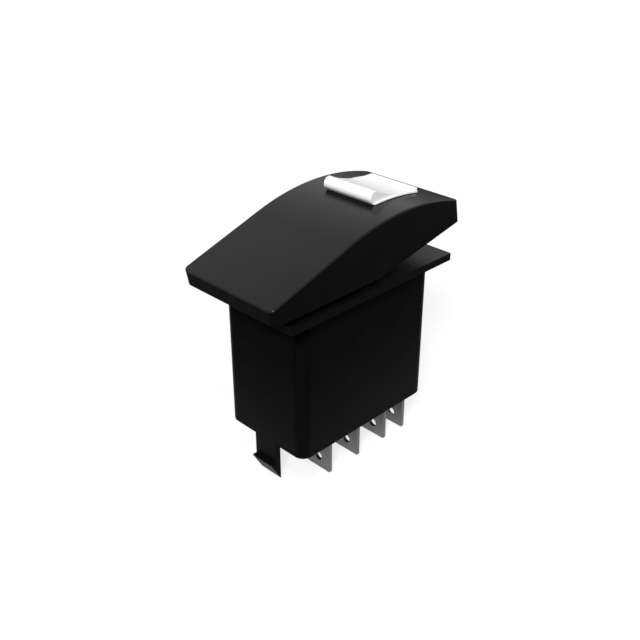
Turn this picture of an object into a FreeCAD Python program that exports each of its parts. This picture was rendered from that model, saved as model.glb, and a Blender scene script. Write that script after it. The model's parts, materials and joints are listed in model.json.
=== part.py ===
"""Panel rocker switch, in millimetres.

Origin: centre of the panel seat, which is the underside of the flange.
+Z points out of the panel, Y runs along the switch and X across it.
The switch is modelled at rest with its front end (-Y) pressed.
"""
import FreeCAD
import Part
import math
import os

Vector = FreeCAD.Vector
ORIGIN = Vector(0, 0, 0)
ALONG_X = Vector(1, 0, 0)
ALONG_Y = Vector(0, 1, 0)
ALONG_Z = Vector(0, 0, 1)

# How far cutters run past what they cut, and how closely edges and faces are picked, in mm and degrees
OVERSHOOT = 2.0
NEAR = 0.01
UPRIGHT_WITHIN = 8
UPWARD_WITHIN = 60

# Body behind the panel
BODY_LENGTH = 36.8
BODY_WIDTH = 22.1
BODY_DEPTH = 30.88
BODY_CORNER = 2.4
BODY_WALL = 1.5
BODY_FLOOR = 2.53
BODY_EDGE_ROUND = 0.2
BARRIER_THICKNESS = 1.2
BARRIER_HEIGHT = 12.4
PEDESTAL_WALL = 0.8

# Flange, its well and the collar that plugs into the body
FLANGE_LENGTH = 45.0
FLANGE_WIDTH = 25.85
FLANGE_THICKNESS = 1.6
WELL_LENGTH = 15.0
WELL_CORNER = 1.2
COLLAR_DEPTH = 5.0
COLLAR_WALL = 0.8
COLLAR_FIT = 0.05
HOLLOW_CORNER = 0.45
RIM_RECESS = 0.4
RIM_FIT = 0.05
EAR_THICKNESS = 1.5
EAR_SIDE_GAP = 0.3
EAR_RADIUS = 3.2

# Pivot pin
PIVOT_RISE = 1.4
PIN_RADIUS = 1.5
PIN_SEAT_CLEARANCE = 0.02
PIN_RUNNING_CLEARANCE = 0.05
PIN_END_RECESS = 0.1
PIN_CHAMFER = 0.3

# Rocker cap, drawn with its rear end pressed, so that its rear base lies level
THROW = 11.3
CAP_LENGTH = 51.35
CAP_REAR = 25.85
CAP_WIDTH = 24.85
CAP_BASE_GAP = 1.2
CAP_KINK_Y = 0.8
CAP_VEE = 11.0
CAP_FRONT_TOP = 8.42
CAP_RAMP = 6.9
CAP_CREST_RADIUS = 51.8
CAP_CREST_START = -5.47
CAP_ROOF = 1.6
CAP_WALL = 1.3
CAP_CORNER = 1.3
CAP_REAR_CORNER = 0.9
CAP_EDGE_ROUND = 0.35
RIB_THICKNESS = 1.2
RIB_OFFSET = 6.0
CATCH_WIDTH = 8.0
CATCH_THICKNESS = 1.2
CATCH_HOOK = 0.6
CATCH_DEPTH = 1.0

# White finger grip on the crest
GRIP_WIDTH = 12.6
GRIP_LIP_Y = 8.55
GRIP_LIP_RADIUS = 1.3
GRIP_LIP_RISE = 1.45
GRIP_LIP_START = 192
GRIP_LIP_END = 38
GRIP_FOOT_Y = 7.58
GRIP_SUNK = 0.5
GRIP_REAR_Y = 20.35
GRIP_REAR_HEIGHT = 1.15
GRIP_DISH_Y = 14.8
GRIP_DISH_HEIGHT = 0.65
GRIP_EDGE_ROUND = 0.25
GRIP_CORNER = 0.9
GRIP_RIM_WIDTH = 0.3
GRIP_RIM_REAR = 0.1
GRIP_RIM_HEIGHT = 0.3
GRIP_RIM_LIFT = 0.12
SPIGOT_WIDTH = 8.0
SPIGOT_FRONT = 12.2
SPIGOT_REAR = 17.2
SPIGOT_DEPTH = 2.6
SPIGOT_FIT = 0.1

# Inner lever, drawn halfway between its two rest positions
SADDLE_LENGTH = 18.0
SADDLE_THICKNESS = 2.0
SADDLE_RISE = 2.4
LEVER_SIDE_GAP = 0.3
BARREL_RADIUS = 3.0
WEB_THICKNESS = 1.6
WEB_DEPTH = 11.0
TUBE_OUTER_RADIUS = 2.4
TUBE_BORE_RADIUS = 1.7
TUBE_DEPTH = 17.0
TUBE_ROOF_DEPTH = 5.5

# Plungers and their springs
PLUNGER_CLEARANCE = 0.1
PLUNGER_ENGAGED = 5.0
PLUNGER_STEM_RADIUS = 0.75
PLUNGER_STEM_LENGTH = 2.0
PLUNGER_TIP_GAP = 0.15
SPRING_WIRE = 0.4
SPRING_SIDE_GAP = 0.2
SPRING_TURNS = 6
SPRING_END_GAP = 0.05

# Terminals
POLE_OFFSET = 5.77
TAB_WIDTH = 6.35
TAB_THICKNESS = 0.8
TAB_LENGTH = 9.05
TAB_PITCH = 8.45
LAMP_TAB_Y = 14.64
TAB_HOLE_RADIUS = 0.97
TAB_HOLE_RISE = 2.7
TAB_SLOT_FIT = 0.05
TAB_BEND_RADIUS = 0.5
SHELF_WIDTH = 5.0
SHELF_MARGIN = 2.1
LAMP_STEM_WIDTH = 3.0

# See-saw contacts
FULCRUM_RISE = 6.35
BAR_LENGTH = 24.0
BAR_WIDTH = 4.4
BAR_THICKNESS = 1.2
BAR_TILT = 6.0
BAR_GROOVE_CLEARANCE = 0.1
BAR_END_RADIUS = 1.2
HORN_RISE = 1.6
HORN_GAP = 0.25
CONTACT_REACH = 10.2
CONTACT_RADIUS = 1.6
CONTACT_RIM = 0.5
CONTACT_DOME = 0.3
CONTACT_SHANK_RADIUS = 0.8
CONTACT_SHANK_FIT = 0.03
CONTACT_GAP = 0.12
FIXED_HEIGHT = 0.7

# Lamp circuit
BOARD_WIDTH = 16.8
BOARD_THICKNESS = 1.0
BOARD_TOP = -5.2
BOARD_BOTTOM = -19.0
LAMP_RADIUS = 1.5
LAMP_RIM_RADIUS = 1.85
LAMP_RIM_HEIGHT = 0.8
LAMP_TOP = 0.9
LAMP_WINDOW_FIT = 0.2
RESISTOR_LENGTH = 3.2
RESISTOR_WIDTH = 1.6
RESISTOR_HEIGHT = 0.6
RESISTOR_CHAMFER = 0.15
RESISTOR_Z = -11.0

# Latch tab at the front of the body
LATCH_WIDTH = 5.95
LATCH_THICKNESS = 1.35
LATCH_LENGTH = 9.22
LATCH_LEDGE_DROP = 4.95
LATCH_BARB = 1.0
LATCH_BARB_EDGE = 0.2

# Values worked out from the sizes above
PIVOT_Z = FLANGE_THICKNESS + PIVOT_RISE
PIVOT = Vector(0, 0, PIVOT_Z)
CAP_FRONT = CAP_LENGTH - CAP_REAR
CAP_BASE_Z = FLANGE_THICKNESS + CAP_BASE_GAP
CAP_TOP_FRONT_Z = CAP_BASE_Z + CAP_FRONT_TOP
RAMP_SLOPE = math.tan(math.radians(CAP_RAMP))
CREST_Z = CAP_TOP_FRONT_Z + RAMP_SLOPE * (CAP_FRONT + CAP_CREST_START)
ARC_Y = CAP_CREST_START + CAP_CREST_RADIUS * math.sin(math.radians(CAP_RAMP))
ARC_Z = CREST_Z - CAP_CREST_RADIUS * math.cos(math.radians(CAP_RAMP))
CAP_HEAD = ARC_Z + CAP_CREST_RADIUS + OVERSHOOT
CAVITY_LENGTH = BODY_LENGTH - 2 * BODY_WALL
CAVITY_WIDTH = BODY_WIDTH - 2 * BODY_WALL
CAVITY_CORNER = BODY_CORNER - BODY_WALL
FLOOR_TOP = -BODY_DEPTH + BODY_FLOOR
COLLAR_WIDTH = CAVITY_WIDTH - 2 * COLLAR_FIT
COLLAR_LENGTH = CAVITY_LENGTH - 2 * COLLAR_FIT
WELL_WIDTH = COLLAR_WIDTH - 2 * COLLAR_WALL
EAR_INNER_X = WELL_WIDTH / 2 + EAR_SIDE_GAP
EAR_OUTER_X = EAR_INNER_X + EAR_THICKNESS
LEVER_HALF_WIDTH = WELL_WIDTH / 2 - LEVER_SIDE_GAP
SADDLE_BOTTOM = PIVOT_Z + SADDLE_RISE
SADDLE_TOP = SADDLE_BOTTOM + SADDLE_THICKNESS
TUBE_BOTTOM = PIVOT_Z - TUBE_DEPTH
TUBE_ROOF = PIVOT_Z - TUBE_ROOF_DEPTH
TAB_TIP_Z = -BODY_DEPTH - TAB_LENGTH
FULCRUM_Z = FLOOR_TOP + FULCRUM_RISE
FULCRUM = Vector(0, 0, FULCRUM_Z)
BAR_TOP_Z = FULCRUM_Z + BAR_THICKNESS
PLUNGER_RADIUS = TUBE_BORE_RADIUS - PLUNGER_CLEARANCE
PLUNGER_TIP_Z = BAR_TOP_Z + PLUNGER_TIP_GAP
PLUNGER_TOP_Z = TUBE_BOTTOM + PLUNGER_ENGAGED
SPRING_RADIUS = TUBE_BORE_RADIUS - SPRING_SIDE_GAP - SPRING_WIRE / 2
CONTACT_HEIGHT = CONTACT_RIM + CONTACT_DOME
DOME_RADIUS = (CONTACT_RADIUS ** 2 + CONTACT_DOME ** 2) / (2 * CONTACT_DOME)
TILT_SIN = math.sin(math.radians(BAR_TILT))
TILT_COS = math.cos(math.radians(BAR_TILT))
FIXED_Y = CONTACT_REACH * TILT_COS + (DOME_RADIUS - CONTACT_HEIGHT) * TILT_SIN
FIXED_TOP = (FULCRUM_Z - CONTACT_REACH * TILT_SIN + (DOME_RADIUS - CONTACT_HEIGHT) * TILT_COS
             - DOME_RADIUS - CONTACT_GAP)
SHELF_TOP = FIXED_TOP - FIXED_HEIGHT
SHELF_BOTTOM = SHELF_TOP - TAB_THICKNESS
SHELF_END = FIXED_Y + SHELF_MARGIN
BOARD_FACE_Y = LAMP_TAB_Y - TAB_THICKNESS / 2
BOARD_MID_Y = BOARD_FACE_Y - BOARD_THICKNESS / 2
POLES = (POLE_OFFSET, -POLE_OFFSET)


def span_box(x, y, z):
    """A box from its low and high value along each axis."""
    return Part.makeBox(x[1] - x[0], y[1] - y[0], z[1] - z[0], Vector(x[0], y[0], z[0]))


def centred_box(width, y, z, x=0.0):
    """A box that is centred on x, with its low and high y and z."""
    return span_box((x - width / 2, x + width / 2), y, z)


def upright_edges(solid):
    """The solid's edges that run along Z."""
    least = math.cos(math.radians(UPRIGHT_WITHIN))
    return [edge for edge in solid.Edges if abs(edge.tangentAt(edge.FirstParameter).z) > least]


def plug(width, length, low, high, corner):
    """An upright block with rounded upright edges, centred on the Z axis."""
    block = centred_box(width, (-length / 2, length / 2), (low, high))
    return block.makeFillet(corner, upright_edges(block))


def side_prism(outline, width, x=0.0):
    """Pushes a wire that lies in the YZ plane to a width, centred on x."""
    face = Part.Face(outline)
    face.translate(Vector(x - width / 2, 0, 0))
    return face.extrude(Vector(width, 0, 0))


def side_polygon(points, width, x=0.0):
    """A prism across X over a closed row of (y, z) corners."""
    corners = [Vector(0, y, z) for y, z in points]
    return side_prism(Part.makePolygon(corners + corners[:1]), width, x)


def line(start, end):
    """A straight edge in the YZ plane between two (y, z) points."""
    return Part.LineSegment(Vector(0, *start), Vector(0, *end)).toShape()


def arc(start, middle, end):
    """A round edge in the YZ plane through three (y, z) points."""
    return Part.Arc(Vector(0, *start), Vector(0, *middle), Vector(0, *end)).toShape()


def rod(radius, x, y=0.0, z=0.0):
    """A cylinder along X from its low to its high x."""
    return Part.makeCylinder(radius, x[1] - x[0], Vector(x[0], y, z), ALONG_X)


def post(radius, low, high, x=0.0, y=0.0):
    """An upright cylinder from its low to its high z."""
    return Part.makeCylinder(radius, high - low, Vector(x, y, low), ALONG_Z)


def turned(shape, pivot, angle):
    """The shape turned about a line along X through the pivot."""
    copy = shape.copy()
    copy.rotate(pivot, ALONG_X, angle)
    return copy


def to_rest(shape, drawn_at):
    """Turns a rocker piece from the throw angle it is drawn at to the rest position."""
    return turned(shape, PIVOT, THROW - drawn_at)


def lever_to_cap(shape):
    """Turns a piece drawn in the lever's halfway position into the cap's rear-down position."""
    return turned(shape, PIVOT, -THROW / 2)


def cap_top(y):
    """Height of the cap's top line at y: a straight ramp that runs into one arc."""
    if y < CAP_CREST_START:
        return CAP_TOP_FRONT_Z + RAMP_SLOPE * (y + CAP_FRONT)
    return ARC_Z + math.sqrt(CAP_CREST_RADIUS ** 2 - (y - ARC_Y) ** 2)


def cap_block(end_inset, roof_inset, width):
    """The cap's side profile, inset by a wall at its ends and its roof, across a width."""
    front = -CAP_FRONT + end_inset
    rear = CAP_REAR - end_inset
    radius = CAP_CREST_RADIUS - roof_inset
    drop = roof_inset / math.cos(math.radians(CAP_RAMP))
    angle = math.radians(CAP_RAMP)
    start = (ARC_Y - radius * math.sin(angle), ARC_Z + radius * math.cos(angle))

    def crest(y):
        return (y, ARC_Z + math.sqrt(radius ** 2 - (y - ARC_Y) ** 2))

    front_base = CAP_BASE_Z + (CAP_KINK_Y - front) * math.tan(math.radians(CAP_VEE))
    corners = [
        (front, front_base),
        (front, cap_top(front) - drop),
        start,
        crest(rear),
        (rear, CAP_BASE_Z),
        (CAP_KINK_Y, CAP_BASE_Z),
    ]
    edges = [
        line(corners[0], corners[1]),
        line(corners[1], corners[2]),
        arc(corners[2], crest((corners[2][0] + rear) / 2), corners[3]),
        line(corners[3], corners[4]),
        line(corners[4], corners[5]),
        line(corners[5], corners[0]),
    ]
    return side_prism(Part.Wire(edges), width)


def faces_upward(face):
    """Whether the face's normal at its middle points mostly up."""
    u_low, u_high, v_low, v_high = face.ParameterRange
    normal = face.normalAt((u_low + u_high) / 2, (v_low + v_high) / 2)
    return normal.z > math.cos(math.radians(UPWARD_WITHIN))


def top_outline(solid):
    """Edges round the solid's upward faces, without the seams between those faces."""
    edges = [edge for face in solid.Faces if faces_upward(face) for edge in face.Edges]
    return [edge for edge in edges if sum(edge.isSame(other) for other in edges) == 1]


def rounded_cap_block():
    """The cap's outer form with its upright corners and its top outline rounded."""
    block = cap_block(0, 0, CAP_WIDTH)
    front = [edge for edge in upright_edges(block) if edge.CenterOfMass.y < 0]
    block = block.makeFillet(CAP_CORNER, front)
    rear = [edge for edge in upright_edges(block) if edge.CenterOfMass.y > CAP_REAR - NEAR]
    block = block.makeFillet(CAP_REAR_CORNER, rear)
    return block.makeFillet(CAP_EDGE_ROUND, top_outline(block))


def saddle_slab(low, high):
    """The lever's saddle plate between two heights, in the lever's halfway position."""
    return centred_box(2 * LEVER_HALF_WIDTH, (-SADDLE_LENGTH / 2, SADDLE_LENGTH / 2), (low, high))


def cap_ribs(cavity):
    """Cross ribs that sit on the saddle and end catches that hook under it."""
    ribs = []
    for side in (-1, 1):
        middle = side * RIB_OFFSET
        across = (middle - RIB_THICKNESS / 2, middle + RIB_THICKNESS / 2)
        ribs.append(centred_box(CAP_WIDTH, across, (SADDLE_TOP, CAP_HEAD)))
        inner = SADDLE_LENGTH / 2
        foot = SADDLE_BOTTOM - CATCH_DEPTH
        leg = centred_box(CATCH_WIDTH, (inner, inner + CATCH_THICKNESS), (foot, CAP_HEAD))
        hook = centred_box(CATCH_WIDTH, (inner - CATCH_HOOK, inner), (foot, SADDLE_BOTTOM))
        catch = leg.fuse(hook)
        if side < 0:
            catch.rotate(ORIGIN, ALONG_Z, 180)
        ribs.append(catch)
    core = centred_box(CATCH_WIDTH, (-SADDLE_LENGTH, SADDLE_LENGTH), (PIVOT_Z, CREST_Z - CAP_ROOF))
    inside = cavity.fuse(core)
    return [lever_to_cap(rib).common(inside) for rib in ribs]


def spigot(fit):
    """The grip's root, which passes through the cap's roof; fit widens it into its hole."""
    low = cap_top(SPIGOT_REAR) - SPIGOT_DEPTH
    return centred_box(SPIGOT_WIDTH + 2 * fit, (SPIGOT_FRONT - fit, SPIGOT_REAR + fit),
                       (low - fit, cap_top(SPIGOT_REAR)))


def rocker_cap():
    """Hollow moulded rocker with a straight ramp, an arched crest and a shallow V base."""
    outer = rounded_cap_block()
    cavity = cap_block(CAP_WALL, CAP_ROOF, CAP_WIDTH - 2 * CAP_WALL)
    below = centred_box(CAP_WIDTH - 2 * CAP_WALL, (-CAP_FRONT + CAP_WALL, CAP_REAR - CAP_WALL),
                        (CAP_BASE_Z - OVERSHOOT, CAP_BASE_Z + OVERSHOOT / 2))
    front_reach = (CAP_FRONT - CAP_WALL + CAP_KINK_Y) * math.tan(math.radians(CAP_VEE))
    wedge = side_polygon([(CAP_KINK_Y, CAP_BASE_Z), (-CAP_FRONT + CAP_WALL, CAP_BASE_Z + front_reach),
                          (-CAP_FRONT + CAP_WALL, CAP_BASE_Z)], CAP_WIDTH - 2 * CAP_WALL)
    cap = outer.cut(cavity.multiFuse([below, wedge]))
    cap = cap.multiFuse(cap_ribs(cavity)).removeSplitter()
    well = spigot(SPIGOT_FIT)
    well = well.fuse(well.translated(Vector(0, 0, SPIGOT_DEPTH)))
    return to_rest(cap.cut(well), 0)


def grip_profile():
    """Side outline of the grip: rolled front lip, dished top and a foot below the crest line."""
    lip_z = cap_top(GRIP_LIP_Y) + GRIP_LIP_RISE

    def on_lip(degrees):
        angle = math.radians(degrees)
        return (GRIP_LIP_Y + GRIP_LIP_RADIUS * math.cos(angle), lip_z + GRIP_LIP_RADIUS * math.sin(angle))

    middle = (GRIP_LIP_START + GRIP_LIP_END) / 2
    foot = (GRIP_FOOT_Y, cap_top(GRIP_FOOT_Y) - GRIP_SUNK)
    rear_foot = (GRIP_REAR_Y, cap_top(GRIP_REAR_Y) - GRIP_SUNK)
    rear_top = (GRIP_REAR_Y, cap_top(GRIP_REAR_Y) + GRIP_REAR_HEIGHT)
    dish = (GRIP_DISH_Y, cap_top(GRIP_DISH_Y) + GRIP_DISH_HEIGHT)
    return Part.Wire([
        line(foot, on_lip(GRIP_LIP_START)),
        arc(on_lip(GRIP_LIP_START), on_lip(middle), on_lip(GRIP_LIP_END)),
        arc(on_lip(GRIP_LIP_END), dish, rear_top),
        line(rear_top, rear_foot),
        line(rear_foot, foot),
    ])


def grip_outline(side, rear):
    """Upright block over the grip's plan, with round rear corners and a margin at its sides and rear."""
    length = (GRIP_FOOT_Y - GRIP_LIP_RADIUS, GRIP_REAR_Y + rear)
    plan = centred_box(GRIP_WIDTH + 2 * side, length, (CAP_BASE_Z, CAP_HEAD))
    corners = [edge for edge in upright_edges(plan) if edge.CenterOfMass.y > GRIP_REAR_Y - NEAR]
    return plan.makeFillet(GRIP_CORNER + side, corners)


def grip_rim():
    """Thin rim round the grip's foot, a little above the crest line, which leaves a shadow gap."""
    high = GRIP_RIM_LIFT + GRIP_RIM_HEIGHT
    rim = cap_block(0, -high, CAP_WIDTH).cut(cap_block(0, -GRIP_RIM_LIFT, CAP_WIDTH))
    behind_foot = centred_box(CAP_WIDTH, (GRIP_FOOT_Y, CAP_REAR), (CAP_BASE_Z, CAP_HEAD))
    return rim.common(grip_outline(GRIP_RIM_WIDTH, GRIP_RIM_REAR)).common(behind_foot)


def grip_pad():
    """White finger grip, seated on the cap's crest line with a root through the roof."""
    pad = side_prism(grip_profile(), GRIP_WIDTH).common(grip_outline(0, 0))
    rear_top = [edge for edge in pad.Edges
                if edge.CenterOfMass.y > GRIP_REAR_Y - GRIP_CORNER
                and edge.BoundBox.ZMin > cap_top(GRIP_REAR_Y) + GRIP_REAR_HEIGHT / 2
                and edge.BoundBox.XLength > NEAR]
    pad = pad.makeFillet(GRIP_EDGE_ROUND, rear_top)
    pad = pad.fuse(grip_rim()).cut(cap_block(0, 0, CAP_WIDTH))
    root = spigot(0).fuse(spigot(0).translated(Vector(0, 0, SPIGOT_DEPTH / 2)))
    root = root.common(cap_block(0, 0, CAP_WIDTH))
    return to_rest(pad.fuse(root).removeSplitter(), 0)


def pivot_pin():
    """Steel pin with chamfered ends through the frame's ears and the lever's barrel."""
    half = EAR_OUTER_X - PIN_END_RECESS
    pin = rod(PIN_RADIUS, (-half, half), 0, PIVOT_Z)
    ends = [edge for edge in pin.Edges if edge.BoundBox.XLength < NEAR]
    return pin.makeChamfer(PIN_CHAMFER, ends)


def actuator_lever():
    """Inner lever: saddle, pivot barrel, web and two plunger tubes."""
    lever = saddle_slab(SADDLE_BOTTOM, SADDLE_TOP)
    span = (-LEVER_HALF_WIDTH, LEVER_HALF_WIDTH)
    parts = [
        rod(BARREL_RADIUS, span, 0, PIVOT_Z),
        span_box(span, (-BARREL_RADIUS, BARREL_RADIUS), (PIVOT_Z, SADDLE_BOTTOM)),
        span_box((-POLE_OFFSET, POLE_OFFSET), (-WEB_THICKNESS / 2, WEB_THICKNESS / 2),
                 (PIVOT_Z - WEB_DEPTH, PIVOT_Z)),
    ]
    bores = [rod(PIN_RADIUS + PIN_RUNNING_CLEARANCE, (-EAR_OUTER_X, EAR_OUTER_X), 0, PIVOT_Z)]
    for x in POLES:
        parts.append(post(TUBE_OUTER_RADIUS, TUBE_BOTTOM, PIVOT_Z, x))
        bores.append(post(TUBE_BORE_RADIUS, TUBE_BOTTOM - OVERSHOOT, TUBE_ROOF, x))
    lever = lever.multiFuse(parts).removeSplitter()
    for bore in bores:
        lever = lever.cut(bore)
    return to_rest(lever, THROW / 2)


def plunger(x):
    """Round plunger with a ball nose and a stem that guides its spring."""
    nose_z = PLUNGER_TIP_Z + PLUNGER_RADIUS
    body = post(PLUNGER_RADIUS, nose_z, PLUNGER_TOP_Z, x)
    nose = Part.makeSphere(PLUNGER_RADIUS, Vector(x, 0, nose_z))
    stem = post(PLUNGER_STEM_RADIUS, PLUNGER_TOP_Z, PLUNGER_TOP_Z + PLUNGER_STEM_LENGTH, x)
    return to_rest(body.multiFuse([nose, stem]).removeSplitter(), THROW / 2)


def plunger_spring(x):
    """Compression spring between the plunger's shoulder and the roof of its tube."""
    low = PLUNGER_TOP_Z + SPRING_END_GAP + SPRING_WIRE / 2
    high = TUBE_ROOF - SPRING_END_GAP - SPRING_WIRE / 2
    coil = Part.makeHelix((high - low) / SPRING_TURNS, high - low, SPRING_RADIUS)
    wire = Part.Wire(Part.makeCircle(SPRING_WIRE / 2, Vector(SPRING_RADIUS, 0, 0), ALONG_Y))
    spring = Part.Wire(coil).makePipeShell([wire], True, True)
    spring.translate(Vector(x, 0, low))
    return to_rest(spring, THROW / 2)


def pivot_ear(side):
    """Round-headed ear on the flange that carries one end of the pin."""
    inner, outer = sorted((side * EAR_INNER_X, side * EAR_OUTER_X))
    ear = rod(EAR_RADIUS, (inner, outer), 0, PIVOT_Z)
    ear = ear.fuse(span_box((inner, outer), (-EAR_RADIUS, EAR_RADIUS), (FLANGE_THICKNESS / 2, PIVOT_Z)))
    below = span_box((inner, outer), (-EAR_RADIUS, EAR_RADIUS),
                     (PIVOT_Z - EAR_RADIUS, FLANGE_THICKNESS / 2))
    return ear.cut(below)


def bezel_frame():
    """Flange with its well, a recess for the body's rim, the collar below and two pivot ears."""
    flange = centred_box(FLANGE_WIDTH, (-FLANGE_LENGTH / 2, FLANGE_LENGTH / 2), (0, FLANGE_THICKNESS))
    rim_width = BODY_WIDTH + 2 * RIM_FIT
    rim_length = BODY_LENGTH + 2 * RIM_FIT
    recess = plug(rim_width, rim_length, -OVERSHOOT, RIM_RECESS, BODY_CORNER + RIM_FIT)
    collar = plug(COLLAR_WIDTH, COLLAR_LENGTH, -COLLAR_DEPTH, FLANGE_THICKNESS / 2, CAVITY_CORNER)
    hollow_length = COLLAR_LENGTH - 2 * COLLAR_WALL
    hollow = plug(WELL_WIDTH, hollow_length, -COLLAR_DEPTH - OVERSHOOT, 0, HOLLOW_CORNER)
    well = plug(WELL_WIDTH, WELL_LENGTH, -OVERSHOOT, FLANGE_THICKNESS + OVERSHOOT, WELL_CORNER)
    frame = flange.cut(recess).fuse(collar).cut(hollow).cut(well)
    frame = frame.multiFuse([pivot_ear(-1), pivot_ear(1)]).removeSplitter()
    pin_hole = rod(PIN_RADIUS + PIN_SEAT_CLEARANCE, (-FLANGE_WIDTH / 2, FLANGE_WIDTH / 2), 0, PIVOT_Z)
    window = post(LAMP_RADIUS + LAMP_WINDOW_FIT, -OVERSHOOT, FLANGE_THICKNESS + OVERSHOOT, 0, BOARD_MID_Y)
    return frame.cut(pin_hole).cut(window)


def latch_tab():
    """Barbed tab below the front wall that locks a connector housing."""
    front = -BODY_LENGTH / 2
    back = front + LATCH_THICKNESS
    ledge = -BODY_DEPTH - LATCH_LEDGE_DROP
    return side_polygon([
        (front, -BODY_DEPTH + BODY_FLOOR / 2),
        (front, ledge),
        (front - LATCH_BARB, ledge),
        (front - LATCH_BARB, ledge - LATCH_BARB_EDGE),
        (back, -BODY_DEPTH - LATCH_LENGTH),
        (back, -BODY_DEPTH + BODY_FLOOR / 2),
    ], LATCH_WIDTH)


def tab_places():
    """Name, x, y and role of each terminal, the near row (+X) first."""
    row = ((-TAB_PITCH, "contact"), (0, "fulcrum"), (TAB_PITCH, "contact"), (LAMP_TAB_Y, "lamp"))
    places = []
    for x in POLES:
        for y, role in row:
            places.append(("terminal_%d" % (len(places) + 1), x, y, role))
    return places


def terminal_pedestal(x, y, role):
    """Raised block on the floor that guides a terminal and backs its shelf."""
    reach = TAB_THICKNESS / 2 + PEDESTAL_WALL
    low, high = y - reach, y + reach
    if role == "contact":
        low, high = (low, SHELF_END) if y > 0 else (-SHELF_END, high)
    return centred_box(TAB_WIDTH, (low, high), (FLOOR_TOP - BODY_FLOOR / 2, SHELF_BOTTOM), x)


def terminal_slot(x, y):
    """Opening for one blade, right through the floor and its pedestal."""
    reach = TAB_THICKNESS / 2 + TAB_SLOT_FIT
    return centred_box(TAB_WIDTH + 2 * TAB_SLOT_FIT, (y - reach, y + reach),
                       (-BODY_DEPTH - OVERSHOOT, SHELF_BOTTOM + OVERSHOOT), x)


def base_housing():
    """Box behind the panel with its floor, pedestals, pole barrier and latch tab."""
    box = plug(BODY_WIDTH, BODY_LENGTH, -BODY_DEPTH, RIM_RECESS, BODY_CORNER)
    base_rim = [edge for edge in box.Edges if edge.BoundBox.ZMax < -BODY_DEPTH + NEAR]
    box = box.makeFillet(BODY_EDGE_ROUND, base_rim)
    box = box.cut(plug(CAVITY_WIDTH, CAVITY_LENGTH, FLOOR_TOP, OVERSHOOT, CAVITY_CORNER))
    barrier = centred_box(BARRIER_THICKNESS, (-BODY_LENGTH / 2 + BODY_WALL / 2, SHELF_END),
                          (FLOOR_TOP - BODY_FLOOR / 2, FLOOR_TOP + BARRIER_HEIGHT))
    solids = [barrier, latch_tab()]
    solids += [terminal_pedestal(x, y, role) for name, x, y, role in tab_places()]
    box = box.multiFuse(solids).removeSplitter()
    for name, x, y, role in tab_places():
        box = box.cut(terminal_slot(x, y))
    return box


def blade(x, y, top):
    """Flat blade up to a height, with its solder hole."""
    blank = centred_box(TAB_WIDTH, (y - TAB_THICKNESS / 2, y + TAB_THICKNESS / 2), (TAB_TIP_Z, top), x)
    hole = Part.makeCylinder(TAB_HOLE_RADIUS, 2 * TAB_THICKNESS,
                             Vector(x, y - TAB_THICKNESS, TAB_TIP_Z + TAB_HOLE_RISE), ALONG_Y)
    return blank.cut(hole)


def contact_terminal(x, y):
    """Blade whose top is bent outward into the shelf that carries a fixed contact."""
    side = 1 if y > 0 else -1
    inner = y - side * TAB_THICKNESS / 2
    outer = y + side * TAB_THICKNESS / 2
    shelf = centred_box(SHELF_WIDTH, sorted((inner, side * SHELF_END)), (SHELF_BOTTOM, SHELF_TOP), x)
    shape = blade(x, y, SHELF_TOP).fuse(shelf)
    shape = shape.removeSplitter()
    outer_bend = [edge for edge in shape.Edges
                  if edge.BoundBox.XLength > SHELF_WIDTH - NEAR
                  and abs(edge.CenterOfMass.y - inner) < NEAR
                  and abs(edge.CenterOfMass.z - SHELF_TOP) < NEAR]
    shape = shape.makeFillet(TAB_BEND_RADIUS, outer_bend)
    return shape.cut(post(CONTACT_SHANK_RADIUS + CONTACT_SHANK_FIT, SHELF_BOTTOM - OVERSHOOT,
                          SHELF_TOP + OVERSHOOT, x, side * FIXED_Y))


def fulcrum_terminal(x):
    """Blade with a rounded edge that the contact bar rocks on, between two guiding horns."""
    shape = blade(x, 0, FULCRUM_Z)
    gap = BAR_WIDTH + 2 * HORN_GAP
    shape = shape.fuse(rod(TAB_THICKNESS / 2, (x - gap / 2, x + gap / 2), 0, FULCRUM_Z))
    horn_width = (TAB_WIDTH - gap) / 2
    for side in (-1, 1):
        shape = shape.fuse(centred_box(horn_width, (-TAB_THICKNESS / 2, TAB_THICKNESS / 2),
                                       (FULCRUM_Z - TAB_THICKNESS, FULCRUM_Z + HORN_RISE),
                                       x + side * (gap + horn_width) / 2))
    return shape.removeSplitter()


def lamp_terminal(x):
    """Blade that narrows above the floor to a stem at the back of the lamp board."""
    low = SHELF_BOTTOM
    stem = centred_box(LAMP_STEM_WIDTH, (LAMP_TAB_Y - TAB_THICKNESS / 2, LAMP_TAB_Y + TAB_THICKNESS / 2),
                       (low - TAB_THICKNESS, (BOARD_TOP + BOARD_BOTTOM) / 2), x)
    return blade(x, LAMP_TAB_Y, low).fuse(stem).removeSplitter()


def terminal(x, y, role):
    """One terminal in its role: fixed contact, fulcrum or lamp feed."""
    if role == "contact":
        return contact_terminal(x, y)
    if role == "fulcrum":
        return fulcrum_terminal(x)
    return lamp_terminal(x)


def fixed_contact(x, side):
    """Silver rivet through a terminal's shelf, with a flat head on top."""
    y = side * FIXED_Y
    head = post(CONTACT_RADIUS, SHELF_TOP, FIXED_TOP, x, y)
    return head.fuse(post(CONTACT_SHANK_RADIUS, SHELF_BOTTOM, SHELF_TOP, x, y)).removeSplitter()


def bar_to_rest(shape):
    """Tilts a contact bar's piece onto its rear contact."""
    return turned(shape, FULCRUM, -BAR_TILT)


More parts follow.
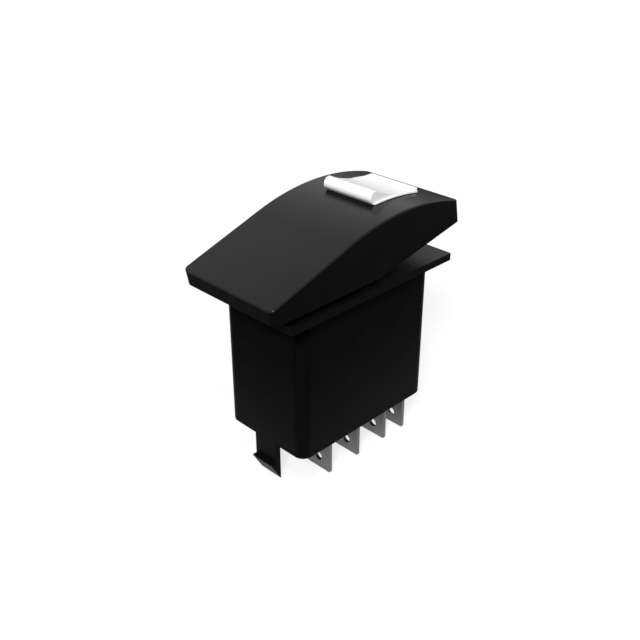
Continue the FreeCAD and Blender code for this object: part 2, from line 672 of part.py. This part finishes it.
def moving_contact(x, side):
    """Silver rivet in the bar with a domed face below."""
    y = side * CONTACT_REACH
    top = FULCRUM_Z
    rim = post(CONTACT_RADIUS, top - CONTACT_RIM, top, x, y)
    ball = Part.makeSphere(DOME_RADIUS, Vector(x, y, top - CONTACT_HEIGHT + DOME_RADIUS))
    dome = ball.common(post(CONTACT_RADIUS, top - CONTACT_HEIGHT, top - CONTACT_RIM, x, y))
    shank = post(CONTACT_SHANK_RADIUS, top, top + BAR_THICKNESS, x, y)
    return bar_to_rest(rim.multiFuse([dome, shank]).removeSplitter())


def contact_bar(x):
    """See-saw copper bar with a round groove that sits on its fulcrum."""
    bar = centred_box(BAR_WIDTH, (-BAR_LENGTH / 2, BAR_LENGTH / 2), (FULCRUM_Z, BAR_TOP_Z), x)
    bar = bar.makeFillet(BAR_END_RADIUS, upright_edges(bar))
    groove = TAB_THICKNESS / 2 + BAR_GROOVE_CLEARANCE
    bar = bar.cut(rod(groove, (x - BAR_WIDTH, x + BAR_WIDTH), 0, FULCRUM_Z))
    for side in (-1, 1):
        bar = bar.cut(post(CONTACT_SHANK_RADIUS + CONTACT_SHANK_FIT, FULCRUM_Z - OVERSHOOT,
                           BAR_TOP_Z + OVERSHOOT, x, side * CONTACT_REACH))
    return bar_to_rest(bar)


def lamp_board():
    """Small circuit board across the two lamp terminals."""
    return centred_box(BOARD_WIDTH, (BOARD_FACE_Y - BOARD_THICKNESS, BOARD_FACE_Y),
                       (BOARD_BOTTOM, BOARD_TOP))


def indicator_lamp():
    """Round lamp that stands on the board's top edge and looks through the flange."""
    rim = post(LAMP_RIM_RADIUS, BOARD_TOP, BOARD_TOP + LAMP_RIM_HEIGHT, 0, BOARD_MID_Y)
    dome_z = LAMP_TOP - LAMP_RADIUS
    stem = post(LAMP_RADIUS, BOARD_TOP, dome_z, 0, BOARD_MID_Y)
    dome = Part.makeSphere(LAMP_RADIUS, Vector(0, BOARD_MID_Y, dome_z))
    return rim.multiFuse([stem, dome]).removeSplitter()


def lamp_resistor():
    """Chip resistor on the front of the board."""
    face = BOARD_FACE_Y - BOARD_THICKNESS
    chip = centred_box(RESISTOR_LENGTH, (face - RESISTOR_HEIGHT, face),
                       (RESISTOR_Z - RESISTOR_WIDTH / 2, RESISTOR_Z + RESISTOR_WIDTH / 2))
    front = [edge for edge in chip.Edges if edge.BoundBox.YMax < face - RESISTOR_HEIGHT + NEAR]
    return chip.makeChamfer(RESISTOR_CHAMFER, front)


def pieces():
    """Every node of the switch by name."""
    nodes = {
        "base_housing": base_housing(),
        "bezel_frame": bezel_frame(),
        "rocker_cap": rocker_cap(),
        "grip_pad": grip_pad(),
        "actuator_lever": actuator_lever(),
        "pivot_pin": pivot_pin(),
        "lamp_board": lamp_board(),
        "indicator_lamp": indicator_lamp(),
        "lamp_resistor": lamp_resistor(),
    }
    for name, x, y, role in tab_places():
        nodes[name] = terminal(x, y, role)
    for pole, x in enumerate(POLES, 1):
        nodes["plunger_%d" % pole] = plunger(x)
        nodes["plunger_spring_%d" % pole] = plunger_spring(x)
        nodes["contact_bar_%d" % pole] = contact_bar(x)
        for side, end in ((-1, "front"), (1, "rear")):
            nodes["moving_contact_%d_%s" % (pole, end)] = moving_contact(x, side)
            nodes["fixed_contact_%d_%s" % (pole, end)] = fixed_contact(x, side)
    return nodes


def main():
    """Writes one STEP file for each node."""
    os.makedirs("parts", exist_ok=True)
    for name, shape in pieces().items():
        shape.exportStep("parts/%s.step" % name)
        facts = (name, len(shape.Solids), shape.Volume, shape.isValid())
        print("%-24s solids %d  volume %9.2f  valid %s" % facts)


main()
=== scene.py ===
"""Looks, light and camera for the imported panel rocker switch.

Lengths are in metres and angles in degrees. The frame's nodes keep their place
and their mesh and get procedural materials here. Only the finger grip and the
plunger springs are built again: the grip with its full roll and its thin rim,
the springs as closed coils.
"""

import json
import math

import bpy
from mathutils import Euler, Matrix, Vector


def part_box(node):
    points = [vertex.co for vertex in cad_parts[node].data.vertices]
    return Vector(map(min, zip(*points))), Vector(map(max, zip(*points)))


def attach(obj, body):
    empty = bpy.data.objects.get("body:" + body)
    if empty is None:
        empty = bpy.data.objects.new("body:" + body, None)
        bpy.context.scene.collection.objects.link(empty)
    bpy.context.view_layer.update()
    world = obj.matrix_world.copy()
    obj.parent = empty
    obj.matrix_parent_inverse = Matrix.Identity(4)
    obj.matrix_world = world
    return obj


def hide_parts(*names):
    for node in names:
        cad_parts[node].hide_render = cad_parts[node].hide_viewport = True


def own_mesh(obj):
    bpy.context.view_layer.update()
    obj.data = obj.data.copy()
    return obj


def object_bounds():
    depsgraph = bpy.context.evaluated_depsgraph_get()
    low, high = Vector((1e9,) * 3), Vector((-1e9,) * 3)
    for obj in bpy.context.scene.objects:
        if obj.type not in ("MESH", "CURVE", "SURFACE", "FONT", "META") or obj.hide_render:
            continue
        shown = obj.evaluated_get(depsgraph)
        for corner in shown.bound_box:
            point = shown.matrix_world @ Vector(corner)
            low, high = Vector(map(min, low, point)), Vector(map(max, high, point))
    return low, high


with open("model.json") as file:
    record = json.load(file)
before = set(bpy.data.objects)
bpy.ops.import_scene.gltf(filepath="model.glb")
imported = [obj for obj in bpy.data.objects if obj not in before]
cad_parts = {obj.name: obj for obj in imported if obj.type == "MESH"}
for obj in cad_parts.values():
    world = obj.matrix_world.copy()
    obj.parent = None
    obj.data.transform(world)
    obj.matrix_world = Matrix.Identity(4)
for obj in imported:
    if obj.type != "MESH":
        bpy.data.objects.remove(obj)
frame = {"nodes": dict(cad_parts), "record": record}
CAD_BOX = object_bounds()
NODES = frame["nodes"]
PARTS = frame["record"]["subparts"]
JOINTS = {joint["name"]: joint for joint in frame["record"]["behaviour"]["joints"]}

# Camera at the photograph's viewing angle
CAMERA_PLACE = (0.111026, -0.113818, 0.077171)
CAMERA_AZIMUTH = 44.958
CAMERA_ELEVATION = 28.85
CAMERA_LENS = 49.643
CAMERA_SENSOR = 36.0

# Lamps as azimuth, elevation, strength and width: a soft key beside the camera, a weak glint above it
KEY = (34.0, 40.0, 3.0, 12.0)
GLINT = (45.0, 57.0, 0.75, 3.5)

# World: grey levels by height (sine of the elevation, from -1 to 1)
WORLD_HEIGHTS = ((-1.0, 0.0), (-0.03, 0.0), (0.03, 0.4), (1.0, 0.42))

# Floor under the object: its half side, its grey under the light, and the shade and glow that are seen
FLOOR_HEIGHT = CAD_BOX[0][2]
FLOOR_HALF = 3.0
FLOOR_BOUNCE = 0.05
FLOOR_SHADE = 0.22
FLOOR_GLOW = 0.78

# Glowing grey cards round the object, which only gloss shows, so that they paint its reflections: dark on
# the sides and a sheen on the tops. The ends of each in plan, its lower and upper edge, and its grey level
# at both edges, between which it rises by a power of the height
CARD_POWER = 2.0
CARDS = {
    "card_right": ((0.032, -0.036), (0.032, 0.12), FLOOR_HEIGHT, 0.013, 0.04, 0.14),
    "card_left": ((0.032, -0.033), (-0.12, -0.033), FLOOR_HEIGHT, 0.0, 0.06, 0.06),
    "card_rear": ((-0.387, -0.033), (0.033, 0.387), FLOOR_HEIGHT, 0.085, 0.06, 0.5),
}

# The rocker's round crest at rest: centre in Y and Z, and radius
CREST_CENTRE = (0.00873, -0.036843)
CREST_RADIUS = 0.0518

# Finger grip. Its section is drawn in lengths along the crest from the highest point and in heights
# above it; the dish is a parabola, and the roll turns about its centre from its foot to the dish.
GRIP_WIDTH = 0.0126
GRIP_FOOT = -0.0024
GRIP_REAR = 0.0102
GRIP_CORNER = 0.0006
GRIP_SUNK = 0.0002
LIP_CENTRE = (-0.0026, 0.00137)
LIP_RADIUS = 0.0013
LIP_TURN = (264.0, 67.0)
DISH_LOW = (0.006, 0.00042)
DISH_START = -0.0018
DISH_CURVE = 30.0
RIM_MARGIN = 0.0003
RIM_HEIGHTS = (0.00012, 0.00042)
RIM_FRONT = -0.0032
RIM_REAR = 0.0001
RIM_CORNER = 0.0006
EDGE_ROUND = 0.00008
EDGE_SEGMENTS = 3
LIP_STEPS = 24
CREST_STEPS = 18
CORNER_STEPS = 7

# Plunger springs: wire thickness, turns, and the distances of both ends down their tubes from the pivot
SPRING_WIRE = 0.0004
SPRING_TURNS = 6
SPRING_TOP = 0.00555
SPRING_FOOT = 0.01195
CLOSED_TURNS = 2
TURN_STEPS = 24
WIRE_SIDES = 8

# Faces that meet at more than this angle keep a sharp edge
SHARP_ANGLE = math.radians(40.0)


def grey(level):
    """A neutral colour."""
    return (level, level, level)


def direction(azimuth, elevation):
    """Unit vector toward a place seen from the object; azimuth 0 is the front (-Y), 90 is +X."""
    a, e = math.radians(azimuth), math.radians(elevation)
    return Vector((math.sin(a) * math.cos(e), -math.cos(a) * math.cos(e), math.sin(e)))


class Shader:
    """Short ways to add and join the nodes of one node tree."""

    def __init__(self, tree):
        self.tree = tree
        tree.nodes.clear()

    def add(self, kind, inputs=None, **settings):
        """Adds a node, sets its properties, and sets or links its inputs by name or number."""
        node = self.tree.nodes.new(kind)
        for name, value in settings.items():
            setattr(node, name, value)
        for name, value in (inputs or {}).items():
            if isinstance(value, bpy.types.NodeSocket):
                self.tree.links.new(value, node.inputs[name])
            else:
                node.inputs[name].default_value = value
        return node

    def math(self, operation, *values):
        """One Math node's result."""
        return self.add("ShaderNodeMath", dict(enumerate(values)), operation=operation).outputs[0]

    def ramp(self, fac, stops):
        """A colour ramp's result; each stop is a place and a grey level."""
        node = self.add("ShaderNodeValToRGB", {"Fac": fac})
        while len(node.color_ramp.elements) < len(stops):
            node.color_ramp.elements.new(0.5)
        for element, (place, level) in zip(node.color_ramp.elements, stops):
            element.position = place
            element.color = (*grey(level), 1)
        return node.outputs["Color"]

    def spread(self, value, low, high):
        """Maps a value from 0..1 to low..high."""
        limits = {"Value": value, "To Min": low, "To Max": high}
        return self.add("ShaderNodeMapRange", limits).outputs["Result"]

    def place(self, scale=(1, 1, 1)):
        """Object coordinates, stretched."""
        coordinates = self.add("ShaderNodeTexCoord").outputs["Object"]
        return self.add("ShaderNodeMapping", {"Vector": coordinates, "Scale": scale}).outputs["Vector"]

    def noise(self, vector, scale, detail=2.0, roughness=0.5):
        """Grey noise with a number of cells per metre."""
        return self.add("ShaderNodeTexNoise", {"Vector": vector, "Scale": scale, "Detail": detail,
                                               "Roughness": roughness}).outputs["Fac"]

    def bump(self, height, distance):
        """A bump normal of a depth in metres."""
        return self.add("ShaderNodeBump", {"Height": height, "Distance": distance}).outputs["Normal"]

    def mix(self, fac, first, second):
        """A colour mixed from two."""
        node = self.add("ShaderNodeMix", {"Factor": fac}, data_type="RGBA")
        for number, value in ((6, first), (7, second)):
            if isinstance(value, bpy.types.NodeSocket):
                self.tree.links.new(value, node.inputs[number])
            else:
                node.inputs[number].default_value = (*value, 1)
        return node.outputs[2]

    def sees_background(self):
        """1 for the rays that show the white background: camera, glossy and transmission rays."""
        path = self.add("ShaderNodeLightPath").outputs
        gloss = self.math("MAXIMUM", path["Is Glossy Ray"], path["Is Transmission Ray"])
        return self.math("MAXIMUM", path["Is Camera Ray"], gloss)

    def emission(self, strength):
        """White light of a strength."""
        return self.add("ShaderNodeEmission", {"Color": (*grey(1.0), 1), "Strength": strength}).outputs[0]

    def matt(self, level):
        """A matt grey."""
        return self.add("ShaderNodeBsdfDiffuse", {"Color": (*grey(level), 1)}).outputs[0]

    def surface(self, **inputs):
        """The Principled shader of the material and its output."""
        named = {name.replace("_", " "): value for name, value in inputs.items()}
        shader = self.add("ShaderNodeBsdfPrincipled", named)
        self.add("ShaderNodeOutputMaterial", {"Surface": shader.outputs[0]})


def material(name):
    """A new material and the helper for its nodes."""
    made = bpy.data.materials.new(name)
    made.use_nodes = True
    return made, Shader(made.node_tree)


def moulded_plastic(name, dark, light, roughness, grain=7000.0, depth=0.000004, level=0.5):
    """Injection-moulded plastic with fine spark grain and a slightly uneven gloss."""
    made, s = material(name)
    place = s.place()
    clouds = s.noise(place, 160.0, 3.0)
    fine = s.noise(place, grain, 2.0)
    colour = s.mix(s.spread(clouds, -0.4, 1.4), dark, light)
    uneven = s.spread(clouds, roughness - 0.04, roughness + 0.04)
    gloss = s.math("ADD", uneven, s.spread(fine, -0.03, 0.03))
    s.surface(Base_Color=colour, Roughness=gloss, Normal=s.bump(fine, depth), Specular_IOR_Level=level)
    return made


def stamped_metal(name, dark, light, roughness, run=(1, 1, 0.06), lines=2600.0, depth=0.000003):
    """Sheet metal with rolling lines along one axis and cloudy plating."""
    made, s = material(name)
    clouds = s.noise(s.place(), 420.0, 4.0)
    rolled = s.noise(s.place(run), lines, 3.0)
    colour = s.mix(s.math("MULTIPLY", clouds, rolled), dark, light)
    uneven = s.spread(clouds, roughness - 0.06, roughness + 0.06)
    gloss = s.math("ADD", uneven, s.spread(rolled, -0.05, 0.05))
    s.surface(Base_Color=colour, Metallic=1.0, Roughness=gloss, Normal=s.bump(rolled, depth))
    return made


def circuit_board(name):
    """Green lacquered board with the glass weave showing through."""
    made, s = material(name)
    threads = {"Vector": s.place(), "Scale": 900.0, "Distortion": 0.4}
    across, upright = (s.add("ShaderNodeTexWave", threads, bands_direction=axis).outputs["Fac"]
                       for axis in ("X", "Z"))
    cloth = s.math("MULTIPLY", across, upright)
    colour = s.mix(cloth, (0.016, 0.10, 0.045), (0.03, 0.16, 0.075))
    s.surface(Base_Color=colour, Roughness=s.spread(cloth, 0.25, 0.35), Normal=s.bump(cloth, 0.000008))
    return made


def clear_lens(name):
    """Clear epoxy of the lamp with faint haze."""
    made, s = material(name)
    haze = s.noise(s.place(), 900.0, 2.0)
    s.surface(Base_Color=(0.95, 0.95, 0.9, 1), Roughness=s.spread(haze, 0.08, 0.2), IOR=1.52,
              Transmission_Weight=0.85)
    return made


def dress():
    """Gives every node of the frame its material, and returns the materials by slot."""
    flange = moulded_plastic("flange_black", grey(0.002), grey(0.0035), 0.3, level=0.18)
    by_slot = {
        "housing_black": moulded_plastic("body_black", grey(0.0025), grey(0.004), 0.4, level=0.02),
        "rocker_black": moulded_plastic("rocker_black", grey(0.0026), grey(0.0042), 0.2, depth=0.000001,
                                        level=0.19),
        "lever_black": moulded_plastic("lever_black", (0.014, 0.014, 0.015), (0.022, 0.022, 0.023), 0.5),
        "grip_white": moulded_plastic("grip_white", grey(0.84), grey(0.88), 0.34, grain=9000.0,
                                      depth=0.0000015, level=0.1),
        "plunger_plastic": moulded_plastic("plunger_plastic", (0.72, 0.69, 0.6), (0.8, 0.78, 0.7), 0.4),
        "resistor": moulded_plastic("resistor", (0.015, 0.015, 0.017), (0.03, 0.03, 0.033), 0.35),
        "tab_metal": stamped_metal("tab_metal", grey(0.145), grey(0.225), 0.5),
        "copper": stamped_metal("copper", (0.52, 0.25, 0.14), (0.78, 0.44, 0.29), 0.35, run=(1, 0.06, 1)),
        "contact_silver": stamped_metal("contact_silver", (0.62, 0.62, 0.6), (0.86, 0.86, 0.84), 0.25,
                                        run=(1, 1, 1), lines=5000.0),
        "steel": stamped_metal("steel", (0.4, 0.41, 0.43), (0.6, 0.61, 0.63), 0.3, run=(0.06, 1, 1)),
        "board": circuit_board("board"),
        "lamp_lens": clear_lens("lamp_lens"),
    }
    for part in PARTS:
        for slot in NODES[part["node"]].material_slots:
            slot.material = flange if part["node"] == "bezel_frame" else by_slot[part["material_slot"]]
    return by_slot


def add_mesh(name, corners, faces, finish):
    """A new mesh object with one material."""
    mesh = bpy.data.meshes.new(name)
    mesh.from_pydata(corners, [], faces)
    mesh.materials.append(finish)
    made = bpy.data.objects.new(name, mesh)
    bpy.context.scene.collection.objects.link(made)
    return made


def smooth(piece):
    """Shades a piece smooth up to its sharp edges."""
    piece.data.polygons.foreach_set("use_smooth", [True] * len(piece.data.polygons))
    piece.data.set_sharp_from_angle(angle=SHARP_ANGLE)


def quads(first, second, size):
    """The faces between two closed rows of corners."""
    return [(first + i, second + i, second + (i + 1) % size, first + (i + 1) % size) for i in range(size)]


def steps(first, last, count):
    """Evenly spaced values from first to last, with both."""
    return [first + (last - first) * i / (count - 1) for i in range(count)]


def on_crest(along, height):
    """A point in Y and Z at a length along the rocker's round crest and a height above it."""
    angle = along / CREST_RADIUS
    reach = CREST_RADIUS + height
    return CREST_CENTRE[0] + reach * math.sin(angle), CREST_CENTRE[1] + reach * math.cos(angle)


def pad_section(front, rear):
    """The grip's side outline up to a rear end: foot, rolled lip and dished top."""
    y, z = on_crest(*LIP_CENTRE)
    turns = [math.radians(angle) for angle in steps(*LIP_TURN, LIP_STEPS)]
    lip = [(y + LIP_RADIUS * math.cos(turn), z + LIP_RADIUS * math.sin(turn)) for turn in turns]
    low_along, low_height = DISH_LOW
    dish = [on_crest(s, low_height + DISH_CURVE * (s - low_along) ** 2)
            for s in steps(DISH_START, rear, CREST_STEPS)]
    return [on_crest(front, -GRIP_SUNK)] + lip + dish + [on_crest(rear, -GRIP_SUNK)]


def rim_section(front, rear):
    """The side outline of the thin rim that follows the crest."""
    low, high = RIM_HEIGHTS
    top = [on_crest(s, high) for s in steps(front, rear, CREST_STEPS)]
    return top + [on_crest(s, low) for s in steps(rear, front, CREST_STEPS)]


def rounding(across, half, corner):
    """How far a plan with round corners draws in at a place across its width."""
    past = max(0.0, abs(across) - half + corner)
    return corner - math.sqrt(max(0.0, corner ** 2 - past ** 2))


def add_rows(corners, faces, section, half, ends, front_corner, rear_corner):
    """Adds a closed body whose side outline, between front and rear ends, is drawn at rows across it."""
    inner = half - max(front_corner, rear_corner)
    turns = [math.radians(angle) for angle in steps(0, 90, CORNER_STEPS)]
    right = [inner + (half - inner) * math.sin(turn) for turn in turns]
    rows = [-x for x in reversed(right)] + right
    base = len(corners)
    for x in rows:
        front = ends[0] + rounding(x, half, front_corner)
        rear = ends[1] - rounding(x, half, rear_corner)
        outline = section(front, rear)
        corners += [(x, y, z) for y, z in outline]
    size = len(outline)
    last = base + (len(rows) - 1) * size
    for first in range(base, last, size):
        faces += quads(first, first + size, size)
    faces += [tuple(range(base, base + size)), tuple(reversed(range(last, last + size)))]


def add_grip(plastic):
    """The white finger grip with its full roll, dished top and rim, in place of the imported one."""
    corners, faces = [], []
    add_rows(corners, faces, pad_section, GRIP_WIDTH / 2, (GRIP_FOOT, GRIP_REAR), 0.0, GRIP_CORNER)
    rim_half = GRIP_WIDTH / 2 + RIM_MARGIN
    add_rows(corners, faces, rim_section, rim_half, (RIM_FRONT, GRIP_REAR + RIM_REAR), RIM_CORNER,
             GRIP_CORNER + RIM_MARGIN)
    grip = add_mesh("finger_grip", corners, faces, plastic)
    smooth(grip)
    edges = grip.modifiers.new("edges", "BEVEL")
    edges.width = EDGE_ROUND
    edges.segments = EDGE_SEGMENTS
    edges.limit_method = "ANGLE"
    edges.angle_limit = SHARP_ANGLE
    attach(grip, "rocker")
    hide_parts("grip_pad")


def wire_heights(length):
    """Heights of the wire's middle along a spring whose first and last turn lie closed."""
    pitch = (length - (CLOSED_TURNS + 1) * SPRING_WIRE) / (SPRING_TURNS - CLOSED_TURNS)
    heights = []
    for turn in steps(0, SPRING_TURNS, SPRING_TURNS * TURN_STEPS + 1):
        closed = min(turn, 1) + max(turn - SPRING_TURNS + 1, 0)
        heights.append(SPRING_WIRE / 2 + SPRING_WIRE * closed + pitch * (turn - closed))
    return heights


def coil(foot, along, across, radius, length):
    """Corners and faces of a round wire wound about a line."""
    corners, faces = [], []
    for number, height in enumerate(wire_heights(length)):
        turn = math.tau * number / TURN_STEPS
        outward = across * math.cos(turn) + along.cross(across) * math.sin(turn)
        for side in range(WIRE_SIDES):
            angle = math.tau * side / WIRE_SIDES
            reach = outward * (radius + math.cos(angle) * SPRING_WIRE / 2)
            corners.append(foot + reach + along * (height + math.sin(angle) * SPRING_WIRE / 2))
    last = len(corners) - WIRE_SIDES
    for first in range(0, last, WIRE_SIDES):
        faces += quads(first, first + WIRE_SIDES, WIRE_SIDES)
    return corners, faces + [tuple(range(WIRE_SIDES)), tuple(reversed(range(last, last + WIRE_SIDES)))]


def add_spring(node, steel):
    """A closed coil in place of a packed spring."""
    joint = JOINTS[node.replace("_spring", "") + "_slide"]
    along, across = Vector(joint["axis"]), Vector((1, 0, 0))
    low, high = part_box(node)
    radius = (high[0] - low[0] - SPRING_WIRE) / 2
    length = SPRING_FOOT - SPRING_TOP
    pivot = Vector(JOINTS["rocker_pivot"]["pos_m"]) + across * (low[0] + high[0]) / 2
    foot, top = pivot - along * SPRING_FOOT, pivot - along * SPRING_TOP
    spring = add_mesh("coil_" + node, *coil(foot, along, across, radius, length), steel)
    smooth(spring)
    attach(spring, "rocker")
    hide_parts(node)
    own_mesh(spring)


def add_camera():
    """The photograph's camera."""
    data = bpy.data.cameras.new("camera")
    data.sensor_fit = "HORIZONTAL"
    data.sensor_width = CAMERA_SENSOR
    data.lens = CAMERA_LENS
    camera = bpy.data.objects.new("camera", data)
    camera.location = CAMERA_PLACE
    camera.rotation_euler = Euler((math.radians(90 - CAMERA_ELEVATION), 0, math.radians(CAMERA_AZIMUTH)))
    bpy.context.scene.collection.objects.link(camera)
    bpy.context.scene.camera = camera


def add_lamp(name, azimuth, elevation, strength, width):
    """A distant lamp with a soft disc."""
    data = bpy.data.lights.new(name, "SUN")
    data.energy = strength
    data.angle = math.radians(width)
    lamp = bpy.data.objects.new(name, data)
    lamp.rotation_euler = direction(azimuth, elevation).to_track_quat("Z", "Y").to_euler()
    bpy.context.scene.collection.objects.link(lamp)


def add_world():
    """Soft studio surroundings that light the object; where the world is seen, it is plain white."""
    world = bpy.data.worlds.new("studio")
    world.use_nodes = True
    bpy.context.scene.world = world
    s = Shader(world.node_tree)
    toward = s.add("ShaderNodeTexCoord").outputs["Generated"]
    height = s.add("ShaderNodeSeparateXYZ", {0: toward}).outputs["Z"]
    slope = s.math("MULTIPLY_ADD", height, 0.5, 0.5)
    sky = s.ramp(slope, [(h / 2 + 0.5, level) for h, level in WORLD_HEIGHTS])
    light = s.add("ShaderNodeBackground", {"Color": sky, "Strength": 1.0})
    white = s.add("ShaderNodeBackground", {"Color": (*grey(1.0), 1), "Strength": 1.0})
    both = s.add("ShaderNodeMixShader", {0: s.sees_background(), 1: light.outputs[0], 2: white.outputs[0]})
    s.add("ShaderNodeOutputWorld", {"Surface": both.outputs[0]})


def add_card(name, start, end, low, high, low_level, high_level):
    """A glowing grey card that stands between two points and that only gloss shows: a painted reflection.
    """
    made, s = material(name)
    height = s.add("ShaderNodeSeparateXYZ", {0: s.place()}).outputs["Z"]
    limits = {"Value": height, "From Min": low, "From Max": high}
    rise = s.add("ShaderNodeMapRange", limits).outputs["Result"]
    level = s.spread(s.math("POWER", rise, CARD_POWER), low_level, high_level)
    s.add("ShaderNodeOutputMaterial", {"Surface": s.emission(level)})
    corners = [(*start, low), (*end, low), (*end, high), (*start, high)]
    card = add_mesh(name, corners, [(0, 1, 2, 3)], made)
    card.visible_camera = card.visible_diffuse = card.visible_transmission = card.visible_shadow = False


def add_floor():
    """A wide plain floor that is white where it is seen and keeps the object's shadow."""
    made, s = material("floor")
    lit = s.add("ShaderNodeAddShader", {0: s.matt(FLOOR_SHADE), 1: s.emission(FLOOR_GLOW)}).outputs[0]
    shown = s.add("ShaderNodeMixShader", {0: s.sees_background(), 1: s.matt(FLOOR_BOUNCE), 2: lit})
    s.add("ShaderNodeOutputMaterial", {"Surface": shown.outputs[0]})
    sides = ((-1, -1), (1, -1), (1, 1), (-1, 1))
    corners = [(x * FLOOR_HALF, y * FLOOR_HALF, FLOOR_HEIGHT) for x, y in sides]
    add_mesh("floor", corners, [(0, 1, 2, 3)], made)


finishes = dress()
add_grip(finishes["grip_white"])
for node in NODES:
    if node.startswith("plunger_spring_"):
        add_spring(node, finishes["steel"])
add_camera()
add_lamp("key", *KEY)
add_lamp("glint", *GLINT)
for name, card in CARDS.items():
    add_card(name, *card)
add_world()
add_floor()
bpy.context.scene.view_settings.view_transform = "Standard"
